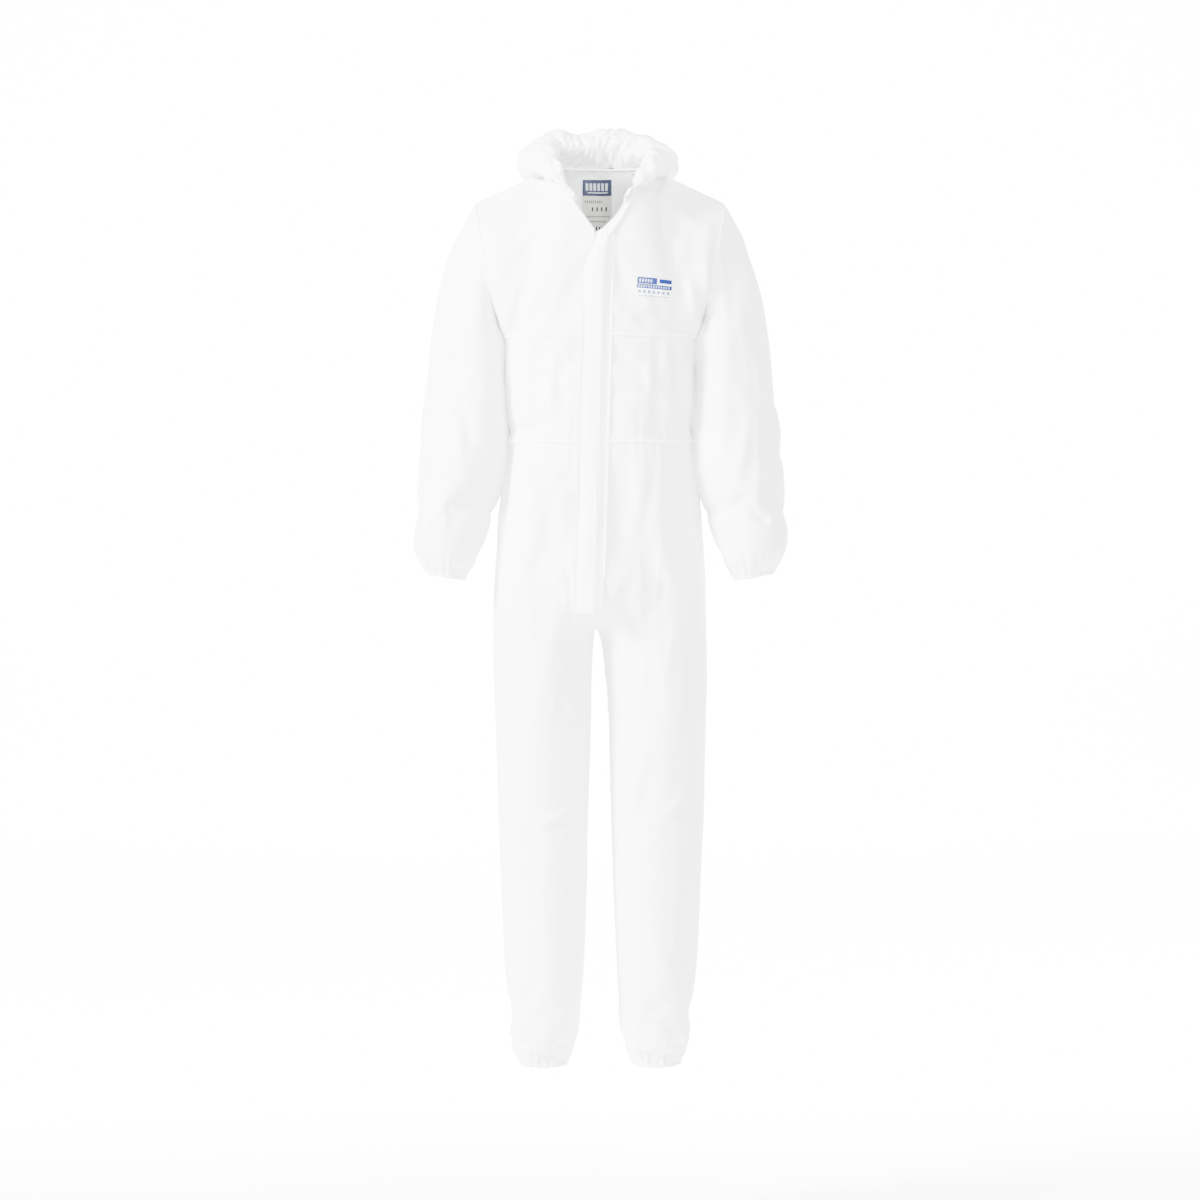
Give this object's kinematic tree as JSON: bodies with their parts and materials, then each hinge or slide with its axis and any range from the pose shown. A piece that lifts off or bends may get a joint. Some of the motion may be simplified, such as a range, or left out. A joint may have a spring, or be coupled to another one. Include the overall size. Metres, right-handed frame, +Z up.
{
  "type": "hooded protective coverall",
  "caption": "White disposable hooded protective coverall with a zip front under a storm flap, elastic waist, cuffs and ankles, and its hood folded back.",
  "frame": {"origin": "the middle of the neck opening, at the height of the back neck seam", "axes": "+Z up towards the hood, the front faces -Y, and the wearer's left is +X"},
  "size_m": [0.6508, 0.276, 1.5955],
  "materials": {
    "nonwoven": "matte nonwoven",
    "tape": "woven tape",
    "nylon": "satin moulded",
    "elastic": "covered elastic",
    "label_cloth": "printed tape",
    "label_film": "printed film",
    "adhesive": "release liner"
  },
  "bodies": {
    "torso": {"front_chest_left": "nonwoven", "front_chest_right": "nonwoven", "back_chest_left": "nonwoven", "back_chest_right": "nonwoven", "midriff_left": "nonwoven", "midriff_right": "nonwoven", "hip_left": "nonwoven", "hip_right": "nonwoven", "crotch_left": "nonwoven", "crotch_right": "nonwoven", "sleeve_head_left": "nonwoven", "sleeve_head_right": "nonwoven", "waist_seam": "nonwoven", "waist_elastic": "elastic", "chest_seam_left": "nonwoven", "chest_seam_right": "nonwoven", "chest_seam_back": "nonwoven", "armhole_seam_left": "nonwoven", "armhole_seam_right": "nonwoven", "neck_label": "label_cloth", "chest_label": "label_film", "zip_tape_left": "tape", "zip_tape_right": "tape", "zip_coil_left": "nylon", "zip_coil_right": "nylon", "zip_bottom_stop": "nylon", "zip_tape_open_left": "tape", "zip_tape_open_right": "tape", "flap_seam": "nonwoven", "storm_flap_open": "nonwoven"},
    "hood": {"hood_left": "nonwoven", "hood_right": "nonwoven", "hood_face_elastic": "elastic"},
    "flap": {"storm_flap": "nonwoven", "flap_adhesive": "adhesive"},
    "slider": {"zip_slider": "nylon"},
    "pull": {"zip_pull": "nylon"},
    "upper_arm_left": {"sleeve_upper_left": "nonwoven", "sleeve_elbow_left": "nonwoven"},
    "forearm_left": {"sleeve_lower_left": "nonwoven", "cuff_elastic_left": "elastic"},
    "upper_leg_left": {"thigh_left": "nonwoven", "knee_left": "nonwoven"},
    "lower_leg_left": {"shin_left": "nonwoven", "ankle_elastic_left": "elastic"},
    "upper_arm_right": {"sleeve_upper_right": "nonwoven", "sleeve_elbow_right": "nonwoven"},
    "forearm_right": {"sleeve_lower_right": "nonwoven", "cuff_elastic_right": "elastic"},
    "upper_leg_right": {"thigh_right": "nonwoven", "knee_right": "nonwoven"},
    "lower_leg_right": {"shin_right": "nonwoven", "ankle_elastic_right": "elastic"}
  },
  "joints": [
    {"name": "shoulder_left", "type": "hinge", "parent": "torso", "child": "upper_arm_left", "pos_m": [0.2, 0.005, -0.085], "axis": [0, -1, 0], "range_deg": [0, 60], "deforming": ["sleeve_head_left"]},
    {"name": "elbow_left", "type": "hinge", "parent": "upper_arm_left", "child": "forearm_left", "pos_m": [0.235, 0.06, -0.429], "axis": [-1, 0, 0], "range_deg": [0, 60], "deforming": ["sleeve_elbow_left"]},
    {"name": "hip_left", "type": "hinge", "parent": "torso", "child": "upper_leg_left", "pos_m": [0.098, 0.01, -0.748], "axis": [-1, 0, 0], "range_deg": [-15, 40], "deforming": ["crotch_left"]},
    {"name": "knee_left", "type": "hinge", "parent": "upper_leg_left", "child": "lower_leg_left", "pos_m": [0.098, -0.068, -1.107], "axis": [1, 0, 0], "range_deg": [0, 60], "deforming": ["knee_left"]},
    {"name": "shoulder_right", "type": "hinge", "parent": "torso", "child": "upper_arm_right", "pos_m": [-0.2, 0.005, -0.085], "axis": [0, 1, 0], "range_deg": [0, 60], "deforming": ["sleeve_head_right"]},
    {"name": "elbow_right", "type": "hinge", "parent": "upper_arm_right", "child": "forearm_right", "pos_m": [-0.235, 0.06, -0.429], "axis": [-1, 0, 0], "range_deg": [0, 60], "deforming": ["sleeve_elbow_right"]},
    {"name": "hip_right", "type": "hinge", "parent": "torso", "child": "upper_leg_right", "pos_m": [-0.098, 0.01, -0.748], "axis": [-1, 0, 0], "range_deg": [-15, 40], "deforming": ["crotch_right"]},
    {"name": "knee_right", "type": "hinge", "parent": "upper_leg_right", "child": "lower_leg_right", "pos_m": [-0.098, -0.068, -1.107], "axis": [1, 0, 0], "range_deg": [0, 60], "deforming": ["knee_right"]},
    {"name": "hood_lift", "type": "hinge", "parent": "torso", "child": "hood", "pos_m": [0, -0.084, -0.04], "axis": [1, 0, 0], "range_deg": [0, 35], "deforming": ["hood_left", "hood_right"]},
    {"name": "flap_open", "type": "hinge", "parent": "torso", "child": "flap", "pos_m": [0.00972, -0.11806, -0.431], "axis": [0.0283, 0.024, 0.9993], "range_deg": [0, 140]},
    {"name": "zip_slide", "type": "slide", "parent": "torso", "child": "slider", "axis": [-0.0283, -0.024, -0.9993], "range_m": [0, 0.505]},
    {"name": "pull_lift", "type": "hinge", "parent": "slider", "child": "pull", "pos_m": [-0.00028, -0.10994, -0.122], "axis": [-1, 0, 0], "range_deg": [0, 15]}
  ]
}
